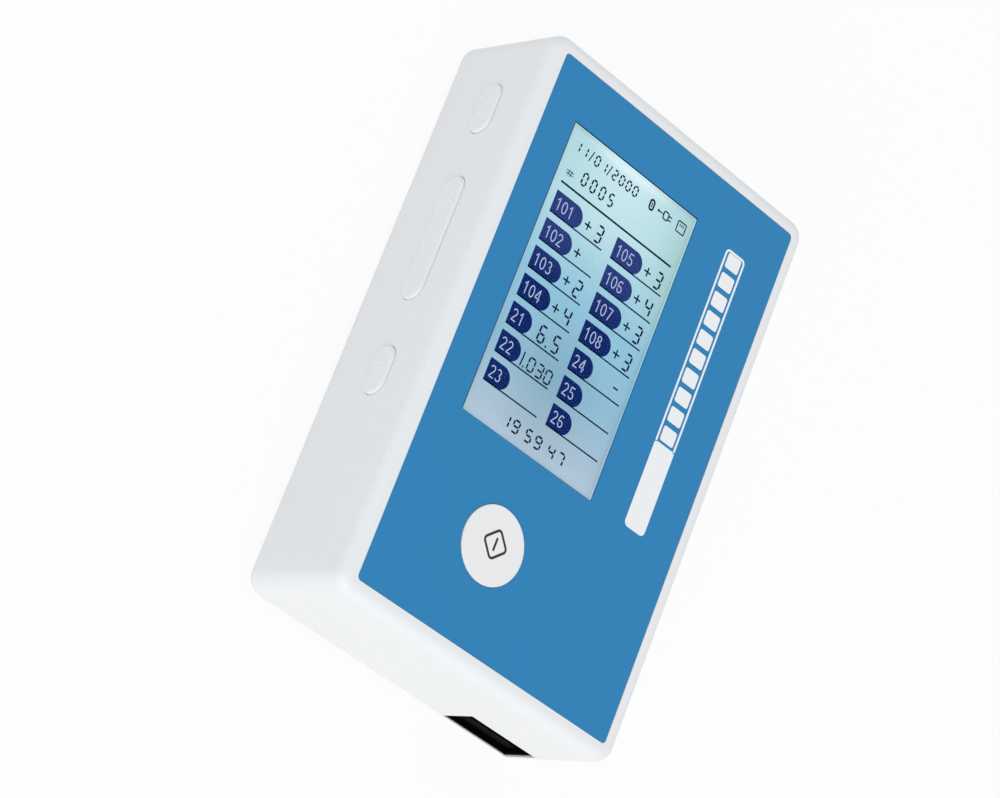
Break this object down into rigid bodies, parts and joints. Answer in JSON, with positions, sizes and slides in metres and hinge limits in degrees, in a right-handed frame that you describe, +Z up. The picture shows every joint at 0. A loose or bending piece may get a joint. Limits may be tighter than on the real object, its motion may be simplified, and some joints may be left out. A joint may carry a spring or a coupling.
{
  "type": "urine analyzer",
  "caption": "Hand-held urine analyzer: flat white case, blue face with display and start button, side keys, and a motor-driven strip tray in its lower end.",
  "frame": {"origin": "under the middle of the case, on the surface that the rubber feet stand on", "axes": "+X to the right seen on the face, +Y from the strip slot towards the connector end, +Z up out of the face"},
  "size_m": [0.0798, 0.126, 0.0308],
  "materials": {
    "battery_wrap": "silver wrap",
    "board_laminate": "green solder mask on glass laminate",
    "brass_turned": "turned brass",
    "button_plastic": "smooth white ABS",
    "case_plastic": "fine moulded texture, white ABS",
    "chip_moulding": "epoxy moulding",
    "clear_sheet": "clear acrylic sheet",
    "display_cell": "liquid crystal cell, pale cyan ground",
    "flex_film": "polyimide film",
    "foot_rubber": "soft rubber pads",
    "frame_plastic": "black ABS",
    "gasket_foam": "black closed-cell foam",
    "gear_acetal": "natural acetal",
    "guide_plastic": "black ABS, matt to swallow stray light",
    "key_plastic": "fine satin, white ABS",
    "lamp_resin": "clear resin",
    "lens_glass": "clear lens",
    "light_guide": "white light guide",
    "overlay_print": "blue printed polycarbonate film, satin",
    "plate_foil": "bare silver foil",
    "reference_tile": "white reference tile",
    "shield_can": "tinned steel can",
    "steel_zinc": "zinc-plated steel",
    "switch_plastic": "black nylon",
    "tray_plastic": "black ABS"
  },
  "bodies": {
    "case": {"axle_clip": "steel_zinc", "back_shell": "case_plastic", "battery": "battery_wrap", "battery_flex": "flex_film", "board_chips": "chip_moulding", "board_screws": "steel_zinc", "buzzer": "switch_plastic", "case_screws": "steel_zinc", "display_backlight": "light_guide", "display_flex": "flex_film", "display_frame": "frame_plastic", "display_gasket": "gasket_foam", "display_glass": "display_cell", "display_window": "clear_sheet", "front_overlay": "overlay_print", "front_shell": "case_plastic", "gear_axle": "steel_zinc", "guide_screws": "steel_zinc", "key_board": "board_laminate", "main_board": "board_laminate", "motor_body": "steel_zinc", "motor_bracket": "steel_zinc", "motor_screws": "steel_zinc", "optical_head": "guide_plastic", "optics_board": "board_laminate", "optics_flex": "flex_film", "optics_lamps": "lamp_resin", "optics_lens": "lens_glass", "photodiode": "chip_moulding", "position_sensor": "switch_plastic", "radio_module": "shield_can", "rating_plate": "plate_foil", "rocker_plungers": "switch_plastic", "rubber_feet": "foot_rubber", "side_switches": "switch_plastic", "start_switch": "switch_plastic", "tray_guide": "guide_plastic", "usb_shell": "shield_can", "usb_tongue": "switch_plastic"},
    "tray": {"strip_tray": "tray_plastic", "white_reference": "reference_tile"},
    "drive": {"drive_gear": "gear_acetal"},
    "rotor": {"motor_shaft": "steel_zinc", "motor_pinion": "brass_turned"},
    "start": {"start_button": "button_plastic", "start_plunger": "switch_plastic"},
    "power": {"power_key": "key_plastic", "power_plunger": "switch_plastic"},
    "menu": {"menu_key": "key_plastic", "menu_plunger": "switch_plastic"},
    "rocker": {"rocker_key": "key_plastic"}
  },
  "joints": [
    {"name": "tray_slide", "type": "slide", "parent": "case", "child": "tray", "axis": [0, -1, 0], "range_m": [0, 0.072]},
    {"name": "drive_gear_spin", "type": "hinge", "parent": "case", "child": "drive", "pos_m": [0.0138, -0.03, 0.008], "axis": [0, 0, 1], "range_deg": [-865, 5]},
    {"name": "motor_spin", "type": "hinge", "parent": "case", "child": "rotor", "pos_m": [0.00425, -0.03955, 0.01], "axis": [0, 0, 1], "range_deg": [-20, 3805]},
    {"name": "start_press", "type": "slide", "parent": "case", "child": "start", "axis": [0, 0, -1], "range_m": [0, 0.0005], "stiffness_N_per_m": 1500},
    {"name": "power_press", "type": "slide", "parent": "case", "child": "power", "axis": [1, 0, 0], "range_m": [0, 0.0005], "stiffness_N_per_m": 1500},
    {"name": "menu_press", "type": "slide", "parent": "case", "child": "menu", "axis": [1, 0, 0], "range_m": [0, 0.0005], "stiffness_N_per_m": 1500},
    {"name": "rocker_tilt", "type": "hinge", "parent": "case", "child": "rocker", "pos_m": [-0.0361, 0.01495, 0.0168], "axis": [0, 0, 1], "range_deg": [-1.2, 1.2], "stiffness_Nm_per_rad": 1}
  ],
  "couplings": [
    {"joint": "drive_gear_spin", "follows": "tray_slide", "rad_per_m": -208.33},
    {"joint": "motor_spin", "follows": "tray_slide", "rad_per_m": 916.67}
  ]
}
